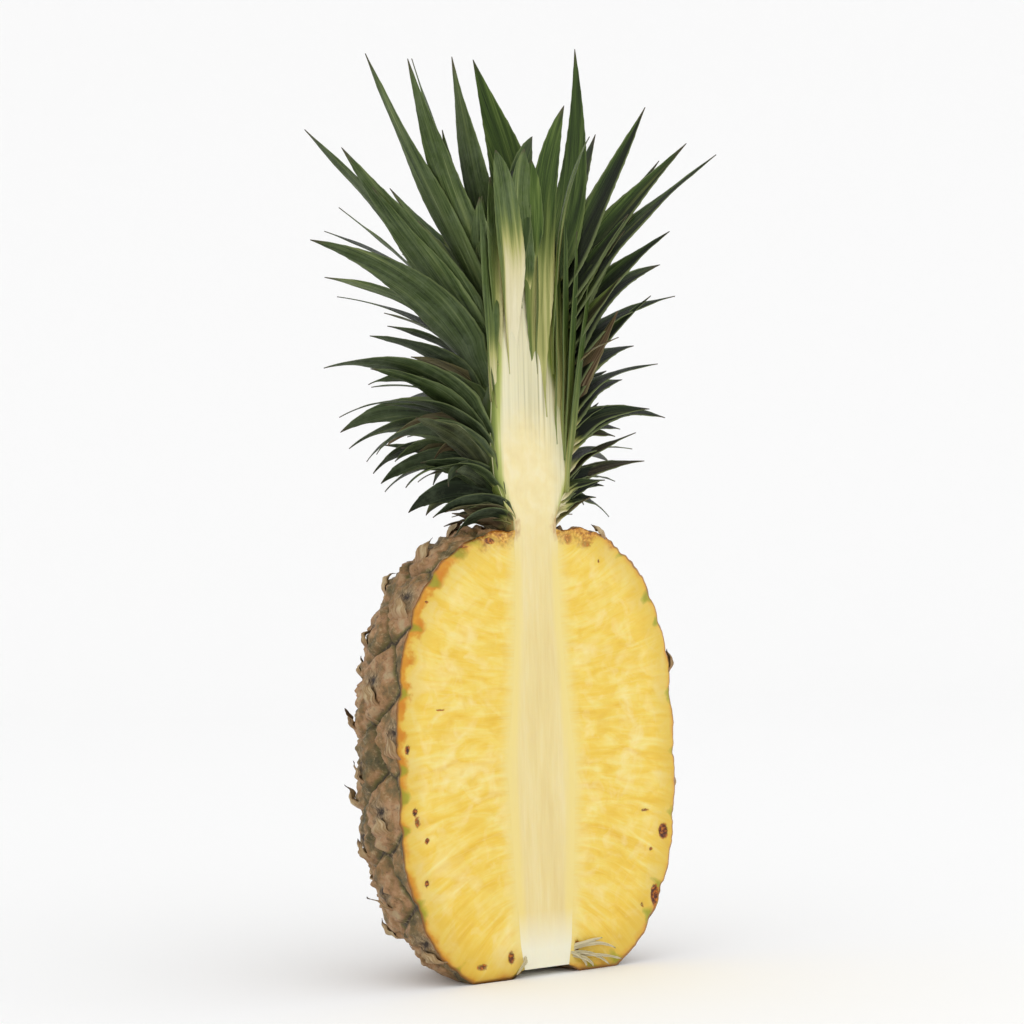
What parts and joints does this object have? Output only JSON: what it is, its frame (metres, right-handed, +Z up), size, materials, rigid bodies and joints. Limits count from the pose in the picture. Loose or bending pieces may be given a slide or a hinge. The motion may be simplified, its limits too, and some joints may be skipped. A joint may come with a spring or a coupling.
{
  "type": "pineapple half",
  "caption": "Pineapple cut lengthwise through the fruit and its leafy crown, standing on its base with the flat cut face to the front.",
  "frame": {"origin": "on the flat spot under the fruit, below the centre of mass, 22.5 mm behind the fruit's axis", "axes": "+Z up along the fruit towards the crown, -Y out of the cut face, +X to the right when the cut face is seen from the front"},
  "size_m": [0.1755, 0.0906, 0.3481],
  "materials": {
    "flesh": "juicy golden flesh with fine fibres; the same solid's outside is tan and olive rind with dry bract tips",
    "core": "pale fibrous core, white to yellow-green where the crown's leaf bases are cut",
    "crown_leaf": "stiff dark green leaf with a grey waxy bloom outside and pale edges"
  },
  "bodies": {
    "root": {"core": "core", "flesh": "flesh", "leaf_01": "crown_leaf", "leaf_02": "crown_leaf", "leaf_03": "crown_leaf", "leaf_04": "crown_leaf", "leaf_05": "crown_leaf", "leaf_06": "crown_leaf", "leaf_07": "crown_leaf", "leaf_08": "crown_leaf", "leaf_09": "crown_leaf", "leaf_10": "crown_leaf", "leaf_11": "crown_leaf", "leaf_12": "crown_leaf", "leaf_13": "crown_leaf", "leaf_14": "crown_leaf", "leaf_15": "crown_leaf", "leaf_16": "crown_leaf", "leaf_17": "crown_leaf", "leaf_18": "crown_leaf", "leaf_19": "crown_leaf", "leaf_20": "crown_leaf", "leaf_21": "crown_leaf", "leaf_22": "crown_leaf", "leaf_23": "crown_leaf", "leaf_24": "crown_leaf", "leaf_25": "crown_leaf", "leaf_26": "crown_leaf", "leaf_27": "crown_leaf", "leaf_28": "crown_leaf", "leaf_29": "crown_leaf", "leaf_30": "crown_leaf", "leaf_31": "crown_leaf", "leaf_32": "crown_leaf", "leaf_33": "crown_leaf", "leaf_34": "crown_leaf", "leaf_35": "crown_leaf", "leaf_36": "crown_leaf", "leaf_37": "crown_leaf", "leaf_38": "crown_leaf", "leaf_39": "crown_leaf", "leaf_40": "crown_leaf", "leaf_41": "crown_leaf", "leaf_42": "crown_leaf", "leaf_43": "crown_leaf", "leaf_44": "crown_leaf", "leaf_45": "crown_leaf", "leaf_46": "crown_leaf", "leaf_47": "crown_leaf", "leaf_48": "crown_leaf", "leaf_49": "crown_leaf", "leaf_50": "crown_leaf", "leaf_51": "crown_leaf", "leaf_52": "crown_leaf", "leaf_53": "crown_leaf", "leaf_54": "crown_leaf", "leaf_55": "crown_leaf", "leaf_56": "crown_leaf", "leaf_57": "crown_leaf"}
  },
  "joints": []
}
